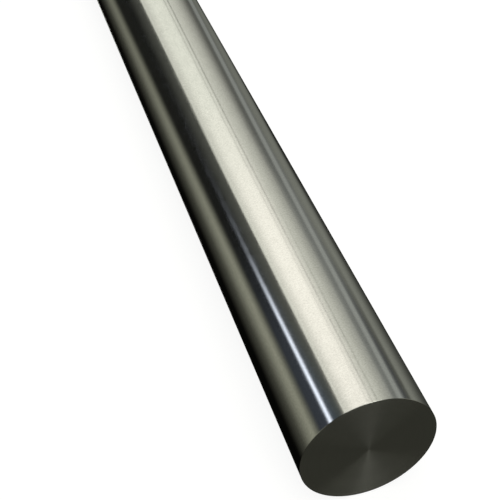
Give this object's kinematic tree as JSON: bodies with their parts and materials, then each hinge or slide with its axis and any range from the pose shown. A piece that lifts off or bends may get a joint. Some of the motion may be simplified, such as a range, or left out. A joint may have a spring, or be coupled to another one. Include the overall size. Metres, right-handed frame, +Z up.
{
  "type": "round metal bar",
  "caption": "Straight solid round bar of bright ground steel with square faced ends and lightly deburred edges.",
  "frame": {"origin": "on the bar's axis at half its length", "axes": "+Y along the bar's axis, +Z up with the bar lying level, +X to the right seen from the -Y end"},
  "size_m": [0.05, 1, 0.0498],
  "materials": {
    "ground_steel": "ground and polished round its circumference, ends face-turned on a lathe, bare metal"
  },
  "bodies": {
    "root": {"round_bar": "ground_steel"}
  },
  "joints": []
}
